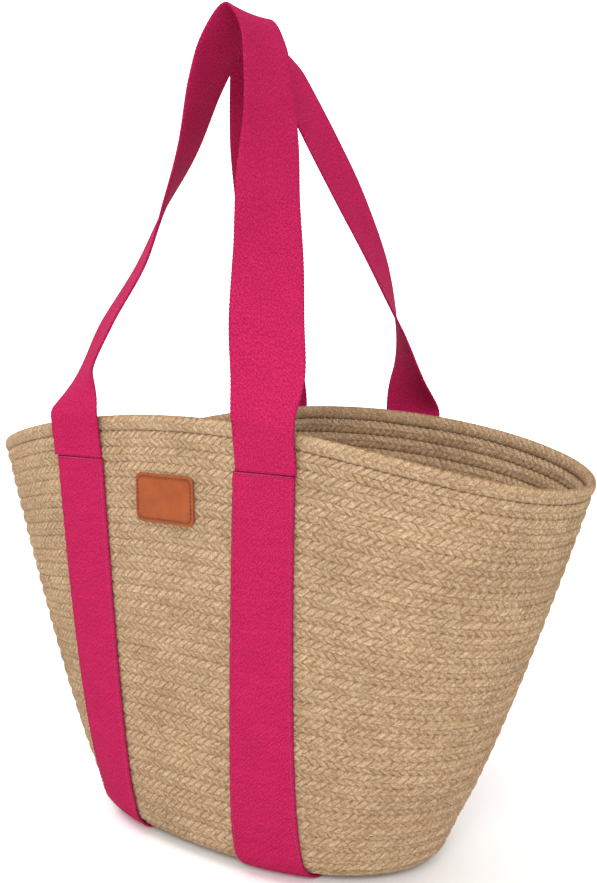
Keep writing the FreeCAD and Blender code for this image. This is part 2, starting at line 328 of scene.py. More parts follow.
def make_mesh(name, points, faces, uv, values=None):
    """A mesh object from arrays: points in mm, quads, a UV in mm and named point values."""
    mesh = bpy.data.meshes.new(name)
    points = np.asarray(points, np.float32) * MM
    faces = np.asarray(faces, np.int32)
    mesh.vertices.add(len(points))
    mesh.vertices.foreach_set("co", points.ravel())
    mesh.loops.add(faces.size)
    mesh.loops.foreach_set("vertex_index", faces.ravel())
    mesh.polygons.add(len(faces))
    mesh.polygons.foreach_set("loop_start", np.arange(0, faces.size, faces.shape[1], dtype=np.int32))
    mesh.update(calc_edges=True)
    mesh.polygons.foreach_set("use_smooth", np.ones(len(faces), bool))
    layer = mesh.uv_layers.new(name="cloth")
    layer.data.foreach_set("uv", (np.asarray(uv, np.float32) * MM)[faces.ravel()].ravel())
    for key, value in (values or {}).items():
        attribute = mesh.attributes.new(key, "FLOAT", "POINT")
        attribute.data.foreach_set("value", np.asarray(value, np.float32))
    mesh.validate()
    thing = bpy.data.objects.new(name, mesh)
    bpy.context.scene.collection.objects.link(thing)
    return thing


def tube_faces(stations, ring, closed):
    """Quads of a tube of rings, joined end to end if it is closed, else capped with strips of quads."""
    rows = stations if closed else stations - 1
    i = np.arange(rows)[:, None]
    j = np.arange(ring)[None, :]
    a = i * ring + j
    b = i * ring + (j + 1) % ring
    c = ((i + 1) % stations) * ring + (j + 1) % ring
    d = ((i + 1) % stations) * ring + j
    faces = np.stack([a, b, c, d], -1).reshape(-1, 4)
    if closed:
        return faces
    caps = []
    half = ring // 2
    for start, flip in ((0, True), ((stations - 1) * ring, False)):
        for k in range(half - 1):
            quad = [start + k, start + k + 1, start + ring - 2 - k, start + ring - 1 - k]
            caps.append(quad if not flip else quad[::-1])
    return np.concatenate([faces, np.array(caps)])


# --- braid --------------------------------------------------------------------------

# Section of the braid, counter-clockwise from its upper edge over the outer face
SECTION_DEGREES = [
    4.0, 20.0, 38.0, 56.0, 73.0, 86.0, 94.0, 107.0, 124.0, 142.0, 160.0, 176.0,
    200.0, 235.0, 262.0, 278.0, 305.0, 340.0,
]


def braid_section():
    """Share of the half height and of the half thickness at each point round a course."""
    angle = np.radians(SECTION_DEGREES)
    across = np.cos(angle)
    out = np.sign(np.sin(angle)) * np.abs(np.sin(angle)) ** ROUNDNESS
    return across, out


def smooth_step(value):
    value = np.clip(value, 0.0, 1.0)
    return value * value * (3.0 - 2.0 * value)


def strands_at(phases, across, series):
    """Place along its strand, depth of the groove beside it and a tint of its own, for every point.

    The two halves of a course are half a strand out of step. series makes the tints of each piece differ."""
    half = np.where(across >= 0.0, 0.0, 0.5)
    f = np.mod(phases[:, None] + half[None, :], 1.0)
    groove = np.abs(2.0 * f - 1.0) ** 2.2
    strand_id = np.floor(phases[:, None] + half[None, :]) + 1000.0 * (across[None, :] >= 0.0)
    seed = np.sin(strand_id * 12.9898 + series) * 43758.5453
    return f, groove, seed - np.floor(seed)


def hollow_shade_at(groove, out):
    """How much painted shade a point gets, from how sunk it is: 0 on the crown of a strand, 1 between
    courses.
    """
    return 1.0 - (1.0 - GROOVE_SHADE * groove) * np.abs(out)[None, :] ** HOLLOW_SHADE_POWER


def braid_mesh(name, points, faces, uv, tint, hollow_shade):
    # The second value is the amount of painted shade in the braid's grooves and between its courses.
    thing = make_mesh(name, points, faces, uv, {"tint": tint.ravel(), "hollow_shade": hollow_shade.ravel()})
    thing.data.materials.append(LOOKS["jute_braid"])
    return thing


def braid(name, first, last, top=None):
    """Turns first to last - 1 of the coil as one long plaited tube. top is a turn it may not pass."""
    across, out = braid_section()
    ring = len(across)
    turns, us, phases = [], [], []
    phase = 0.0
    for turn in range(first, last):
        strands = max(8, round(around_at(turn + 0.5) / STRAND))
        count = strands * STEPS_PER_STRAND
        share = np.arange(count) / count
        turns.append(turn + smooth_step((share - 1.0 + JOG_LENGTH) / JOG_LENGTH))
        us.append(JOG_START + share)
        phases.append(phase + share * strands)
        phase += strands
    turns = np.concatenate(turns + [[float(last)]])
    us = np.concatenate(us + [[JOG_START + 1.0]])
    phases = np.concatenate(phases + [[phase]])
    lengths = np.array([around_at(t + 0.5) for t in turns])
    slant = STRAND_SLANT * STRAND * np.abs(across)[None, :]
    u = us[:, None] + slant / lengths[:, None]
    low = turns[:, None]
    high = turns[:, None] + 1.0
    if top is not None:
        high = np.minimum(high, top)
    wave = LONG_WAVE * np.sin(us * 2 * np.pi * 7 + turns * 1.7)
    wave += SHORT_WAVE * np.sin(us * 2 * np.pi * 17 + turns * 2.9)
    v = 0.5 + across[None, :] * (0.5 + COURSE_OVERLAP)
    if top is not None:
        v = np.minimum(v, 1.0)
    place = low + (high - low) * v + wave[:, None] * (1.0 - (2 * v - 1) ** 2)
    f, groove, tint = strands_at(phases, across, first * 78.233)
    scallop = EDGE_SCALLOP * np.cos(2.0 * np.pi * f) * across[None, :] ** 5
    point, normal = surface_frame(place - scallop, u)
    thin = np.clip((high - low) / 0.6, 0.15, 1.0)
    body = BRAID_THICKNESS / 2.0 * out[None, :] * np.ones_like(u)
    depth = 1.0 - (GROOVE / (BRAID_THICKNESS / 2.0)) * groove - STRAND_UNEVEN * np.mod(tint * 7.13, 1.0)
    body = body * depth
    body = body * (0.4 + 0.6 * thin)
    points = (point + normal * (body - BRAID_THICKNESS / 2.0)[..., None]).reshape(-1, 3)
    uv = np.stack([f * STRAND + tint * 900.0, across[None, :] * 7.0 + tint * 400.0], -1).reshape(-1, 2)
    return braid_mesh(name, points, tube_faces(len(us), ring, False), uv, tint, hollow_shade_at(groove, out))


# --- webbing ------------------------------------------------------------------------


def ribbon_section():
    """Offsets across and out of a strip of webbing, closed, with rounded selvedges."""
    half = WIDTH / 2.0
    thick = THICKNESS / 2.0
    top = [(x, thick) for x in np.linspace(-half + SELVEDGE, half - SELVEDGE, 17)]
    right = [(half - 0.25, thick * 0.62), (half, 0.0), (half - 0.25, -thick * 0.62)]
    bottom = [(x, -thick) for x in np.linspace(half - SELVEDGE, -half + SELVEDGE, 17)]
    left = [(-half + 0.25, -thick * 0.62), (-half, 0.0), (-half + 0.25, thick * 0.62)]
    return np.array(top + right + bottom + left)


def leg_curve(points, opposite, samples):
    """Even samples of a smooth curve through the points of a leg, running on into the opposite leg."""
    points = np.asarray(points, float)
    mirror = np.array(opposite[-2], float)
    mirror[0] = -mirror[0]
    mirror[3] = 180.0 - mirror[3]
    padded = np.vstack([points[0], points, mirror])
    values = []
    for index in range(len(points) - 1):
        p0, p1, p2, p3 = padded[index:index + 4]
        for share in np.arange(samples) / samples:
            s2 = share * share
            s3 = s2 * share
            values.append(
                (2 * s3 - 3 * s2 + 1) * p1 + (s3 - 2 * s2 + share) * (p2 - p0) / 2.0
                + (3 * s2 - 2 * s3) * p2 + (s3 - s2) * (p3 - p1) / 2.0
            )
    values.append(points[-1])
    return np.array(values)


def resample(rows, step):
    """Rows whose first three values are a place, spaced evenly by step."""
    gap = np.linalg.norm(np.diff(rows[:, :3], axis=0), axis=1)
    run = np.concatenate([[0.0], np.cumsum(gap)])
    even = np.linspace(0.0, run[-1], max(8, int(run[-1] / step)))
    return np.stack([np.interp(even, run, rows[:, k]) for k in range(rows.shape[1])], -1), even


def handle(name, right_leg, left_leg, side, node):
    """Free webbing loop, from one cross seam up over the arch and down to the other."""
    other = leg_curve(left_leg, right_leg, 40)[:-1][::-1]
    other[:, 0] = -other[:, 0]
    other[:, 3] = 180.0 - other[:, 3]
    rows = np.vstack([leg_curve(right_leg, left_leg, 40), other])
    rows[:, 0] += WEBBING_SHIFT
    seam_y = SEAM_Y + HANDLE_GAP + THICKNESS / 2.0
    place = np.stack([rows[:, 0], side * (seam_y - rows[:, 1]), BAND_TOP + 0.3 + rows[:, 2], rows[:, 3]], -1)
    foot = place[:1].copy()
    foot[0, 2] = SEAM_HEIGHT
    end = place[-1:].copy()
    end[0, 2] = SEAM_HEIGHT
    place = np.vstack([foot, place, end])
    rows, run = resample(place, ROW_STEP)
    centre = rows[:, :3]
    turn = np.radians(rows[:, 3])
    face_y = skin_y(centre[:, 0], SEAM_HEIGHT)
    settle = smooth_step(1.0 - (centre[:, 2] - SEAM_HEIGHT) / SETTLE_HEIGHT)
    wanted = side * (face_y + SEWN_GAP + THICKNESS / 2.0)
    centre[:, 1] = centre[:, 1] + (wanted - centre[:, 1]) * settle
    along = np.gradient(centre, axis=0)
    along /= np.linalg.norm(along, axis=1, keepdims=True)
    across = np.stack([np.cos(turn), -side * np.sin(turn), np.zeros_like(turn)], -1)
    across -= along * np.sum(across * along, axis=1, keepdims=True)
    across /= np.linalg.norm(across, axis=1, keepdims=True)
    out = np.cross(along, across) * side * -1.0
    section = ribbon_section()
    free = np.sin(np.pi * run / run[-1])
    cup = LOOP_CUP * free
    x = section[None, :, 0]
    lift = section[None, :, 1] - cup[:, None] * (x / (WIDTH / 2.0)) ** 2
    wobble = LOOP_WOBBLE * np.sin(run / WOBBLE_LENGTH)[:, None] * free[:, None] * x / WIDTH
    edge = np.where(np.abs(section[:, 0]) > WIDTH / 2.0 - 0.5, 1.0, 0.0)
    every_other = np.where(np.arange(len(run)) % 2, 1.0, -1.0)
    nub = SELVEDGE_NUB * every_other[:, None] * edge[None, :] * np.sign(x)
    points = (
        centre[:, None, :] + across[:, None, :] * (x + nub)[..., None]
        + out[:, None, :] * (lift + wobble)[..., None]
    )
    uv = np.stack([x + np.zeros_like(lift), run[:, None] + np.zeros_like(lift)], -1).reshape(-1, 2)
    faces = tube_faces(len(run), len(section), False)
    if side > 0:
        faces = faces[:, ::-1]
    values = {"rim": np.broadcast_to(np.abs(x) / (WIDTH / 2.0), lift.shape).ravel()}
    thing = make_mesh(name, points.reshape(-1, 3), faces, uv, values)
    thing.data.materials.append(LOOKS["webbing"])
    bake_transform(thing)
    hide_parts(node)
    return thing


def skin_y(x, z):
    """Distance of the wall's outer face from the middle plane, at a place on the front or back."""
    z = np.asarray(z, float)
    _, length, depth, corner_x, corner_y = ring_sizes(1.0 + z - EDGE_TOP_Z)
    return depth * (1.0 - np.abs(x / length) ** corner_x) ** (1.0 / corner_y)


def skin_y_and_z(x, level, out):
    """Y on the back half and Z of the outer face, at X and a ring level, moved out."""
    z, length, depth, corner_x, corner_y = ring_sizes(level, out)
    y = depth * np.maximum(0.0, 1.0 - np.abs(x / length) ** corner_x) ** (1.0 / corner_y)
    return y, z


def band_centre(side, face, z):
    """Middle of a band on the front (-1) or the back (+1) of the basket, at a height."""
    rim_x = BAND_X_AT_FRONT_RIM if face < 0 else BAND_X_AT_REAR_RIM
    share = np.maximum(0.0, z - EDGE_RADIUS) / (RIM_HEIGHT_MIDDLE - EDGE_RADIUS)
    return WEBBING_SHIFT + side * (BAND_X_AT_BASE + (rim_x - BAND_X_AT_BASE) * share)


def band_path():
    """Stations of a band from the front seam to the back: level, face (-1 front), share of the floor."""
    wall = 1.0 + np.arange(SEAM_HEIGHT - EDGE_TOP_Z, 0.0, -ROW_STEP)
    edge = np.linspace(1.0, 0.0, 20)
    floor = np.linspace(1.0, -1.0, 90)[1:-1]
    stations = [(level, -1.0, 1.0) for level in wall] + [(level, -1.0, 1.0) for level in edge]
    stations += [(0.0, -1.0 if share > 0 else 1.0, abs(share)) for share in floor]
    stations += [(level, 1.0, 1.0) for level in edge[::-1]] + [(level, 1.0, 1.0) for level in wall[::-1]]
    return stations


def band(name, side, node):
    """Webbing sewn up the front, under the base and up the back."""
    section = ribbon_section()
    rings = []
    for level, face, floor in band_path():
        centre_z = float(ring_sizes(level)[0])
        x = band_centre(side, face, centre_z) + section[:, 0]
        ridge = BAND_RIDGE * math.cos(2 * math.pi * centre_z / BAND_RIDGE_PITCH) if level > 1.0 else 0.0
        h = SEWN_GAP + THICKNESS / 2.0 + section[:, 1] + ridge * (section[:, 1] > 0)
        y, z = skin_y_and_z(x, level, h)
        rings.append(np.stack([x, face * y * floor, z + 0.0 * x], -1))
    rings = np.array(rings)
    middle = rings.mean(axis=1)
    run = np.concatenate([[0.0], np.cumsum(np.linalg.norm(np.diff(middle, axis=0), axis=1))])
    shape = rings.shape[:2]
    uv = np.stack([np.broadcast_to(section[:, 0], shape), np.broadcast_to(run[:, None], shape)], -1)
    faces = tube_faces(len(run), len(section), False)
    rim = np.broadcast_to(np.abs(section[:, 0]) / (WIDTH / 2.0), shape)
    thing = make_mesh(name, rings.reshape(-1, 3), faces[:, ::-1], uv.reshape(-1, 2), {"rim": rim.ravel()})
    thing.data.materials.append(LOOKS["webbing"])
    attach(thing, "bag")
    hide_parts(node)
    return thing


# --- thread -------------------------------------------------------------------------


def stitch_mesh(ends, radius):
    """Separate sewn stitches: each a short arched thread from one end to the other, diving at its ends.

    ends is a list of (start, finish, outward normal), in mm."""
    sides = 6
    shares = np.array([0.0, 0.12, 0.35, 0.65, 0.88, 1.0])
    lift = np.array([-0.9, 0.25, 0.75, 0.75, 0.25, -0.9])
    fat = np.array([0.55, 0.9, 1.0, 1.0, 0.9, 0.55])
    points, faces, uv = [], [], []
    base = 0
    for start, finish, normal in ends:
        start = np.asarray(start, float)
        finish = np.asarray(finish, float)
        normal = np.asarray(normal, float)
        along = finish - start
        span = np.linalg.norm(along)
        along /= span
        cross = np.cross(along, normal)
        for share, up, size in zip(shares, lift, fat):
            centre = start + along * span * share + normal * radius * up
            for k in range(sides):
                angle = 2 * math.pi * k / sides
                points.append(centre + (cross * math.cos(angle) + normal * math.sin(angle)) * radius * size)
                uv.append((k / sides, share * span))
        count = len(shares)
        faces.append(tube_faces(count, sides, False) + base)
        base += count * sides
    return np.array(points), np.concatenate(faces), np.array(uv)


def wall_normal(x, z, face):
    """Outward normal of the front (-1) or back (+1) wall."""
    step = 2.0
    dx = (skin_y(x + step, z) - skin_y(x - step, z)) / (2 * step)
    dz = (skin_y(x, z + step) - skin_y(x, z - step)) / (2 * step)
    normal = np.array([-float(dx), 1.0, -float(dz)])
    normal /= np.linalg.norm(normal)
    normal[1] *= face
    return normal


def on_wall(x, z, face, out):
    """Point of the front (-1) or back (+1) wall, moved outward."""
    normal = wall_normal(x, z, face)
    return np.array([x, face * float(skin_y(x, z)), z]) + normal * out, normal


def seam_piece(name, ends, radius, node, slot_name):
    """A row of stitches as one piece."""
    points, faces, uv = stitch_mesh(ends, radius)
    thing = make_mesh(name, points, faces, uv)
    thing.data.materials.append(LOOKS[slot_name])
    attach(thing, "bag")
    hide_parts(node)
    return thing


def cross_seam(name, side, face, node):
    """Stitches across a band, where the free loop begins."""
    ends = []
    surface_out = SEWN_GAP + THICKNESS
    count = int((WIDTH - 2.0) / STITCH_PITCH)
    centre = band_centre(side, face, SEAM_HEIGHT)
    for step in range(count):
        x = centre + (step - (count - 1) / 2.0) * STITCH_PITCH
        z = SEAM_HEIGHT - CROSS_SEAM_DROP + STITCH_WANDER * math.sin(step * 2.3)
        start, normal = on_wall(x - STITCH_LENGTH / 2.0, z, face, surface_out)
        finish, _ = on_wall(x + STITCH_LENGTH / 2.0, z, face, surface_out)
        ends.append((start, finish, normal))
    return seam_piece(name, ends, CROSS_THREAD_RADIUS, node, "pink_thread")


def edge_seam(name, side, edge, node):
    """Stitches along one long edge of a band, on both walls."""
    ends = []
    surface_out = SEWN_GAP + THICKNESS
    inset = WIDTH / 2.0 - STITCH_INSET
    for face in (-1, 1):
        for z in np.arange(EDGE_TOP_Z + EDGE_SEAM_END, SEAM_HEIGHT - EDGE_SEAM_END, STITCH_PITCH):
            low = z - STITCH_LENGTH / 2.0
            high = z + STITCH_LENGTH / 2.0
            start, normal = on_wall(band_centre(side, face, low) + edge * inset, low, face, surface_out)
            finish, _ = on_wall(band_centre(side, face, high) + edge * inset, high, face, surface_out)
            ends.append((start, finish, normal))
    return seam_piece(name, ends, EDGE_THREAD_RADIUS, node, "pink_thread")


# --- leather patch ------------------------------------------------------------------


def rounded_rectangle(half_w, half_h, corner, count):
    """Evenly spaced points round a rectangle with rounded corners."""
    points = []
    for cx, cy, start in ((1, 1, 0), (-1, 1, 90), (-1, -1, 180), (1, -1, 270)):
        for degrees in np.linspace(start, start + 90, 13):
            angle = math.radians(degrees)
            points.append((
                cx * (half_w - corner) + corner * math.cos(angle),
                cy * (half_h - corner) + corner * math.sin(angle),
            ))
    points.append(points[0])
    points = np.array(points)
    run = np.concatenate([[0.0], np.cumsum(np.linalg.norm(np.diff(points, axis=0), axis=1))])
    even = np.linspace(0.0, run[-1], count + 1)[:-1]
    return np.stack([np.interp(even, run, points[:, 0]), np.interp(even, run, points[:, 1])], -1), run[-1]


def on_patch(x, y, out):
    """Point of the patch's back plane, bent with the wall, moved outward."""
    place, normal = on_wall(PATCH_CENTRE_X + x, PATCH_CENTRE_Z + y, -1, PATCH_OUT)
    return place + normal * out


def leather_patch():
    """Pad of leather with a rounded rim, a sunk stitch line and a slightly crowned face."""
    rings = [
        (0.0, 0.05), (-0.25, 0.5), (-0.1, 1.1), (0.35, 1.5), (0.9, PATCH_THICKNESS),
        (1.5, PATCH_THICKNESS - 0.08), (1.9, PATCH_THICKNESS - 0.38), (2.5, PATCH_THICKNESS - 0.38),
        (2.9, PATCH_THICKNESS - 0.05), (4.0, PATCH_THICKNESS + 0.12), (6.0, PATCH_THICKNESS + 0.2),
        (9.0, PATCH_THICKNESS + 0.22), (12.5, PATCH_THICKNESS + 0.2), (16.0, PATCH_THICKNESS + 0.18),
    ]
    count = 160
    points, uv = [], []
    for inset, out in rings:
        half_w = PATCH_WIDTH / 2.0 - inset
        half_h = max(0.6, PATCH_HEIGHT / 2.0 - inset)
        corner = max(0.4, min(PATCH_CORNER - inset * 0.6, half_h * 0.95))
        outline_points, _ = rounded_rectangle(half_w, half_h, corner, count)
        for x, y in outline_points:
            points.append(on_patch(x, y, out))
            uv.append((x, y))
    faces = tube_faces(len(rings), count, False)
    thing = make_mesh("leather_patch_skin", points, faces, uv)
    thing.data.materials.append(LOOKS["patch_leather"])
    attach(thing, "bag")
    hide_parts("leather_patch")
    return thing


def patch_stitches():
    """Stitches round the patch, in its sunk line."""
    inset = STITCH_INSET
    line, length = rounded_rectangle(
        PATCH_WIDTH / 2.0 - inset, PATCH_HEIGHT / 2.0 - inset, PATCH_CORNER - inset * 0.6, PATCH_LINE_POINTS
    )
    count = round(length / PATCH_STITCH_PITCH)
    ends = []
    for step in range(count):
        a = line[int(step / count * PATCH_LINE_POINTS)]
        b = line[int((step + PATCH_STITCH_SHARE) / count * PATCH_LINE_POINTS) % PATCH_LINE_POINTS]
        start = on_patch(a[0], a[1], PATCH_THICKNESS - 0.12)
        finish = on_patch(b[0], b[1], PATCH_THICKNESS - 0.05)
        ends.append((start, finish, wall_normal(PATCH_CENTRE_X + a[0], PATCH_CENTRE_Z + a[1], -1)))
    seam_piece("patch_thread", ends, PATCH_THREAD_RADIUS, "patch_stitching", "tan_thread")


# --- materials ----------------------------------------------------------------------


def srgb(r, g, b):
    """Linear colour from 8-bit screen values."""
    def one(c):
        c = c / 255.0
        return c / 12.92 if c <= 0.04045 else ((c + 0.055) / 1.055) ** 2.4
    return (one(r), one(g), one(b), 1.0)


# The frame has plain materials under the slot names, so the painted ones have names of their own.
LOOKS = {}
WHITE = (1.0, 1.0, 1.0, 1.0)


class Graph:
    """Short hand for building one material's nodes."""

    def __init__(self, name, roughness, sheen=0.0, specular=0.3):
        self.material = bpy.data.materials.new(name + "_look")
        LOOKS[name] = self.material
        self.material.use_nodes = True
        self.nodes = self.material.node_tree.nodes
        self.links = self.material.node_tree.links
        self.shader = self.nodes["Principled BSDF"]
        self.shader.inputs["Roughness"].default_value = roughness
        self.shader.inputs["Specular IOR Level"].default_value = specular
        self.shader.inputs["Sheen Weight"].default_value = sheen
        self.shader.inputs["Sheen Roughness"].default_value = 0.5

    def node(self, kind, **settings):
        made = self.nodes.new(kind)
        for key, value in settings.items():
            setattr(made, key, value)
        return made

    def link(self, source, target):
        self.links.new(source, target)

    def value(self, key):
        return self.node("ShaderNodeAttribute", attribute_name=key).outputs["Fac"]

    def scaled(self, source, scale):
        mapping = self.node("ShaderNodeMapping")
        mapping.inputs["Scale"].default_value = scale
        self.link(source, mapping.inputs["Vector"])
        return mapping.outputs["Vector"]

    def noise(self, vector, scale, detail=3.0, rough=0.55):
        made = self.node("ShaderNodeTexNoise")
        made.inputs["Scale"].default_value = scale
        made.inputs["Detail"].default_value = detail
        made.inputs["Roughness"].default_value = rough
        self.link(vector, made.inputs["Vector"])
        return made.outputs["Fac"]

    def ramp(self, fac, stops):
        made = self.node("ShaderNodeValToRGB")
        elements = made.color_ramp.elements
        while len(elements) < len(stops):
            elements.new(0.5)
        for element, (position, colour) in zip(elements, stops):
            element.position = position
            element.color = colour
        self.link(fac, made.inputs["Fac"])
        return made.outputs["Color"]

    def mix(self, fac, a, b, blend="MIX"):
        made = self.node("ShaderNodeMix", data_type="RGBA", blend_type=blend)
        for source, socket in ((fac, made.inputs[0]), (a, made.inputs[6]), (b, made.inputs[7])):
            if isinstance(source, (int, float, tuple)):
                socket.default_value = source
            else:
                self.link(source, socket)
        return made.outputs[2]

    def math(self, operation, a, b):
        made = self.node("ShaderNodeMath", operation=operation)
        for source, socket in ((a, made.inputs[0]), (b, made.inputs[1])):
            if isinstance(source, (int, float)):
                socket.default_value = source
            else:
                self.link(source, socket)
        return made.outputs[0]

    def bump(self, height, strength, distance, below=None):
        made = self.node("ShaderNodeBump")
        made.inputs["Strength"].default_value = strength
        made.inputs["Distance"].default_value = distance
        self.link(height, made.inputs["Height"])
        if below is not None:
            self.link(below, made.inputs["Normal"])
        return made.outputs["Normal"]

    def coordinates(self):
        return self.node("ShaderNodeTexCoord").outputs["Object"]

    def uv(self):
        return self.node("ShaderNodeUVMap", uv_map="cloth").outputs["UV"]


def jute_material():
    g = Graph("jute_braid", 0.95, sheen=0.0, specular=0.04)
    uv = g.uv()
    place = g.coordinates()
    fibre = g.noise(g.scaled(uv, (1.0, 0.2, 1.0)), 1000.0, 4.0, 0.7)
    fleck = g.noise(g.scaled(place, (1.0, 1.0, 1.7)), 420.0, 4.0, 0.75)
    grit = g.noise(place, 900.0, 3.0, 0.8)
    patchy = g.noise(place, 20.0, 3.0)
    colour = g.ramp(fibre, [
        (0.36, srgb(116, 84, 56)), (0.48, srgb(176, 144, 110)), (0.6, srgb(212, 188, 156)),
    ])
    flecks = g.ramp(fleck, [
        (0.36, srgb(122, 88, 58)), (0.48, srgb(180, 148, 114)), (0.6, srgb(220, 196, 164)),
    ])
    colour = g.mix(0.5, colour, flecks)
    speckle = g.ramp(grit, [
        (0.36, (0.58, 0.54, 0.5, 1.0)), (0.5, WHITE), (0.62, (1.3, 1.3, 1.3, 1.0)),
    ])
    colour = g.mix(0.8, colour, speckle, "MULTIPLY")
    warm = g.ramp(g.value("tint"), [
        (0.0, srgb(164, 130, 96)), (0.5, srgb(182, 152, 120)), (1.0, srgb(200, 174, 144)),
    ])
    colour = g.mix(0.25, colour, warm)
    tone = g.ramp(patchy, [(0.35, (0.9, 0.89, 0.88, 1.0)), (0.65, (1.04, 1.04, 1.03, 1.0))])
    colour = g.mix(1.0, colour, tone, "MULTIPLY")
    # Painted shade: the colour is darkened and browned in the grooves between strands and most between
    # courses, where shade falls.
    hollow_shade = g.ramp(g.value("hollow_shade"), [
        (0.3, WHITE), (0.75, (0.74, 0.67, 0.6, 1.0)), (1.0, (0.56, 0.46, 0.38, 1.0)),
    ])
    colour = g.mix(0.8, colour, hollow_shade, "MULTIPLY")
    g.link(colour, g.shader.inputs["Base Color"])
    rough = g.math("ADD", g.math("MULTIPLY", grit, 0.12), 0.84)
    g.link(rough, g.shader.inputs["Roughness"])
    first = g.bump(fibre, 1.0, 0.0012)
    g.link(g.bump(grit, 0.9, 0.0008, first), g.shader.inputs["Normal"])


def webbing_material():
    g = Graph("webbing", 0.95, sheen=0.0, specular=0.04)
    uv = g.uv()
    rib = g.node("ShaderNodeTexWave", wave_type="BANDS", bands_direction="Y", wave_profile="SIN")
    rib.inputs["Scale"].default_value = 260.0
    rib.inputs["Distortion"].default_value = 0.5
    rib.inputs["Detail"].default_value = 1.0
    g.link(uv, rib.inputs["Vector"])
    yarn = g.node("ShaderNodeTexWave", wave_type="BANDS", bands_direction="DIAGONAL", wave_profile="SIN")
    yarn.inputs["Scale"].default_value = 210.0
    yarn.inputs["Distortion"].default_value = 0.8
    g.link(uv, yarn.inputs["Vector"])
    lint = g.noise(g.scaled(uv, (1.0, 0.6, 1.0)), 900.0, 4.0, 0.75)
    cloud = g.noise(uv, 45.0, 3.0)
    colour = g.ramp(lint, [(0.38, srgb(148, 20, 60)), (0.5, srgb(167, 29, 75)), (0.62, srgb(186, 41, 91))])
    shade = g.ramp(rib.outputs["Fac"], [(0.0, (0.78, 0.74, 0.77, 1.0)), (0.7, (1.05, 1.05, 1.05, 1.0))])
    colour = g.mix(0.6, colour, shade, "MULTIPLY")
    slub = g.ramp(yarn.outputs["Fac"], [(0.0, (0.88, 0.85, 0.87, 1.0)), (0.8, (1.03, 1.03, 1.03, 1.0))])
    colour = g.mix(0.6, colour, slub, "MULTIPLY")
    tone = g.ramp(cloud, [(0.3, (0.95, 0.95, 0.95, 1.0)), (0.7, (1.05, 1.05, 1.05, 1.0))])
    colour = g.mix(1.0, colour, tone, "MULTIPLY")
    selvedge = g.ramp(g.value("rim"), [(0.955, WHITE), (1.0, (0.8, 0.78, 0.8, 1.0))])
    colour = g.mix(1.0, colour, selvedge, "MULTIPLY")
    g.link(colour, g.shader.inputs["Base Color"])
    ribs = g.math("MULTIPLY", rib.outputs["Fac"], 0.6)
    weave = g.math("ADD", ribs, g.math("MULTIPLY", yarn.outputs["Fac"], 0.4))
    rough = g.math("ADD", g.math("MULTIPLY", lint, 0.12), 0.84)
    g.link(rough, g.shader.inputs["Roughness"])
    first = g.bump(weave, 0.7, 0.0004)
    g.link(g.bump(lint, 0.35, 0.0004, first), g.shader.inputs["Normal"])


def thread_material(name, low, high):
    g = Graph(name, 0.6, sheen=0.2, specular=0.35)
    uv = g.uv()
    twist = g.node("ShaderNodeTexWave", wave_type="BANDS", bands_direction="DIAGONAL")
    twist.inputs["Scale"].default_value = 400.0
    g.link(uv, twist.inputs["Vector"])
    colour = g.ramp(twist.outputs["Fac"], [(0.0, low), (1.0, high)])
    g.link(colour, g.shader.inputs["Base Color"])
    rough = g.math("ADD", g.math("MULTIPLY", twist.outputs["Fac"], 0.15), 0.5)
    g.link(rough, g.shader.inputs["Roughness"])
    g.link(g.bump(twist.outputs["Fac"], 0.4, 0.0001), g.shader.inputs["Normal"])


def leather_material():
    g = Graph("patch_leather", 0.5, specular=0.25)
    uv = g.uv()
    grain = g.node("ShaderNodeTexVoronoi", feature="DISTANCE_TO_EDGE")
    grain.inputs["Scale"].default_value = 900.0
    g.link(uv, grain.inputs["Vector"])
    pores = g.noise(uv, 1800.0, 3.0, 0.6)
    cloud = g.noise(uv, 70.0, 4.0, 0.6)
    colour = g.ramp(cloud, [(0.35, srgb(134, 61, 20)), (0.5, srgb(141, 66, 23)), (0.65, srgb(149, 72, 27))])
    fine = g.ramp(pores, [(0.3, (0.84, 0.82, 0.8, 1.0)), (0.6, (1.04, 1.04, 1.04, 1.0))])
    colour = g.mix(0.7, colour, fine, "MULTIPLY")
    g.link(colour, g.shader.inputs["Base Color"])
    rough = g.math("ADD", g.math("MULTIPLY", cloud, 0.3), 0.32)
    g.link(rough, g.shader.inputs["Roughness"])
    first = g.bump(grain.outputs["Distance"], 0.25, 0.0002)
    g.link(g.bump(pores, 0.2, 0.0001, first), g.shader.inputs["Normal"])


def make_materials():
    jute_material()
    webbing_material()
    thread_material("pink_thread", srgb(112, 14, 44), srgb(160, 30, 76))
    thread_material("tan_thread", srgb(84, 34, 14), srgb(124, 58, 26))
    leather_material()


# --- build --------------------------------------------------------------------------


def build_basket():
    wall_first = BASE_TURNS
    wall_last = BASE_TURNS + EDGE_TURNS + WALL_TURNS
    base = braid("base_braid", 0, BASE_TURNS)
    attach(base, "bag")
    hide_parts("base_coil")
    for index, first in enumerate(range(wall_first, wall_last, COURSES_PER_PIECE), start=1):
        last = min(first + COURSES_PER_PIECE, wall_last)
        top = float(wall_last) if last == wall_last else None
        piece = braid(f"wall_braid_{index:02d}", first, last, top=top)
        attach(piece, "bag")
        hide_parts("wall_coil")
    rim = rim_braid(wall_last)
    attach(rim, "bag")
    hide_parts("rim_coil")


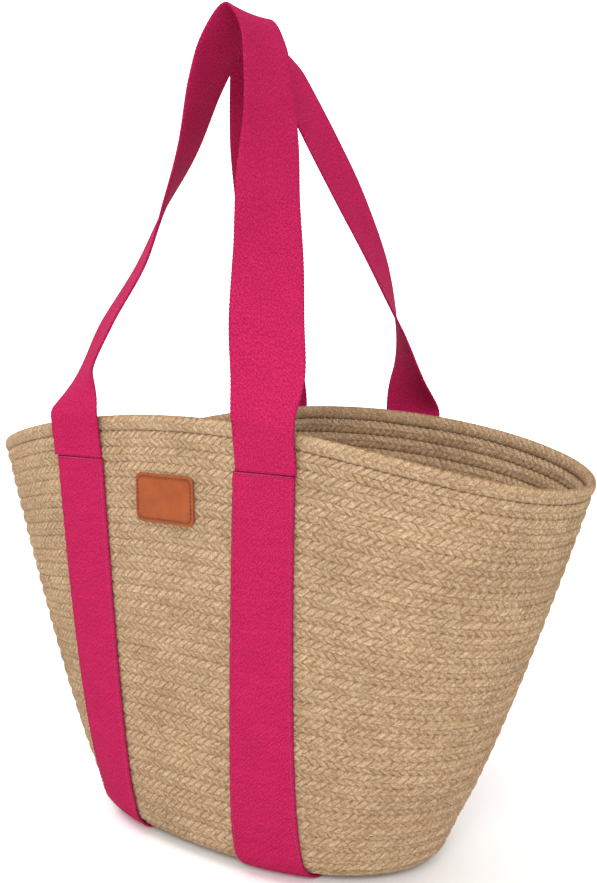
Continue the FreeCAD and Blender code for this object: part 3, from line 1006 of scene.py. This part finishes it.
def rim_braid(turn):
    """The top course, one closed ring."""
    across, out = braid_section()
    strands = round(around_at(turn + 0.5) / STRAND)
    count = strands * STEPS_PER_STRAND
    us = np.arange(count) / count
    phases = np.arange(count) / STEPS_PER_STRAND
    length = around_at(turn + 0.5)
    u = us[:, None] + STRAND_SLANT * STRAND * np.abs(across)[None, :] / length
    v = (1.0 + across[None, :]) / 2.0
    place = turn + v + np.zeros_like(u)
    point, normal = surface_frame(place, u)
    f, groove, tint = strands_at(phases, across, 3.7)
    body = BRAID_THICKNESS / 2.0 * out[None, :] * (1.0 - (GROOVE / (BRAID_THICKNESS / 2.0)) * groove)
    points = (point + normal * (body - BRAID_THICKNESS / 2.0)[..., None]).reshape(-1, 3)
    uv = np.stack([f * STRAND, (across[None, :] * 7.0) + np.zeros_like(f)], -1).reshape(-1, 2)
    faces = tube_faces(count, len(across), True)
    return braid_mesh("rim_braid", points, faces, uv, tint, hollow_shade_at(groove, out))


def build_webbing():
    band("left_band_webbing", -1, "left_band")
    band("right_band_webbing", 1, "right_band")
    handle("front_handle_webbing", FRONT_RIGHT_LEG, FRONT_LEFT_LEG, -1, "front_handle")
    handle("rear_handle_webbing", REAR_RIGHT_LEG, REAR_LEFT_LEG, 1, "rear_handle")
    cross_seam("cross_thread_front_left", -1, -1, "cross_seam_front_left")
    cross_seam("cross_thread_front_right", 1, -1, "cross_seam_front_right")
    cross_seam("cross_thread_rear_left", -1, 1, "cross_seam_rear_left")
    cross_seam("cross_thread_rear_right", 1, 1, "cross_seam_rear_right")
    edge_seam("edge_thread_left_outer", -1, -1, "edge_seam_left_band_outer")
    edge_seam("edge_thread_left_inner", -1, 1, "edge_seam_left_band_inner")
    edge_seam("edge_thread_right_inner", 1, -1, "edge_seam_right_band_inner")
    edge_seam("edge_thread_right_outer", 1, 1, "edge_seam_right_band_outer")


# Stage, in metres and watts
FLOOR_SIZE = 12.0
BACKDROP_PLACE = (-2.08, 2.82, 1.9)
BACKDROP_SCALE = (9.0, 4.0, 1.0)
SKY_STRENGTH = 0.85
LAMPS = (
    ("key_light", (1.3, -2.0, 1.5), 1.1, 44.0),
    ("top_light", (-0.8, -0.9, 2.6), 1.4, 34.0),
)
LAMP_AIM = (0, 0, 0.28)


def build_stage():
    """Plain pale floor, a bright backdrop behind it and soft studio light."""
    bpy.ops.mesh.primitive_plane_add(size=FLOOR_SIZE, location=(0, 0, 0))
    floor = bpy.context.object
    floor.name = "floor"
    g = Graph("floor_paper", 0.9)
    g.shader.inputs["Base Color"].default_value = (0.95, 0.95, 0.95, 1.0)
    floor.data.materials.append(g.material)
    facing = (math.radians(90), 0, math.radians(CAMERA_AZIMUTH))
    bpy.ops.mesh.primitive_plane_add(size=1.0, location=BACKDROP_PLACE, rotation=facing)
    backdrop = bpy.context.object
    backdrop.name = "backdrop"
    backdrop.scale = BACKDROP_SCALE
    paper = Graph("backdrop_paper", 1.0)
    paper.shader.inputs["Base Color"].default_value = (0.8, 0.8, 0.8, 1.0)
    paper.shader.inputs["Emission Color"].default_value = WHITE
    paper.shader.inputs["Emission Strength"].default_value = 1.0
    backdrop.data.materials.append(paper.material)
    world = bpy.data.worlds.new("studio")
    world.use_nodes = True
    world.node_tree.nodes["Background"].inputs["Color"].default_value = WHITE
    world.node_tree.nodes["Background"].inputs["Strength"].default_value = SKY_STRENGTH
    bpy.context.scene.world = world
    for name, place, size, power in LAMPS:
        lamp = bpy.data.lights.new(name, "AREA")
        lamp.size = size
        lamp.energy = power
        holder = bpy.data.objects.new(name, lamp)
        holder.location = place
        aim = Vector(LAMP_AIM) - Vector(place)
        holder.rotation_euler = aim.to_track_quat("-Z", "Y").to_euler()
        bpy.context.scene.collection.objects.link(holder)
    bpy.context.scene.view_settings.view_transform = "Standard"


# Camera: distance and place in mm, angles in degrees, focal length in frame heights
CAMERA_AZIMUTH = 36.4
CAMERA_ELEVATION = 4.4
CAMERA_ROLL = 0.6
CAMERA_DISTANCE = 828.9
CAMERA_TARGET = (11.2, 23.7, 295.5)
CAMERA_FOCAL = 1063.1 / 883.0


def build_camera():
    """Camera at the photo's angle."""
    azimuth = math.radians(CAMERA_AZIMUTH)
    elevation = math.radians(CAMERA_ELEVATION)
    back = Vector((
        math.sin(azimuth) * math.cos(elevation),
        -math.cos(azimuth) * math.cos(elevation),
        math.sin(elevation),
    ))
    camera = bpy.data.cameras.new("camera")
    camera.sensor_fit = "VERTICAL"
    camera.sensor_height = 36.0
    camera.lens = CAMERA_FOCAL * camera.sensor_height
    holder = bpy.data.objects.new("camera", camera)
    look = (-back).to_track_quat("-Z", "Y").to_matrix().to_4x4()
    roll = Matrix.Rotation(math.radians(CAMERA_ROLL), 4, "Z")
    place = (Vector(CAMERA_TARGET) + back * CAMERA_DISTANCE) * MM
    holder.matrix_world = Matrix.Translation(place) @ look @ roll
    bpy.context.scene.collection.objects.link(holder)
    bpy.context.scene.camera = holder


make_materials()
build_basket()
build_webbing()
leather_patch()
patch_stitches()
build_stage()
build_camera()
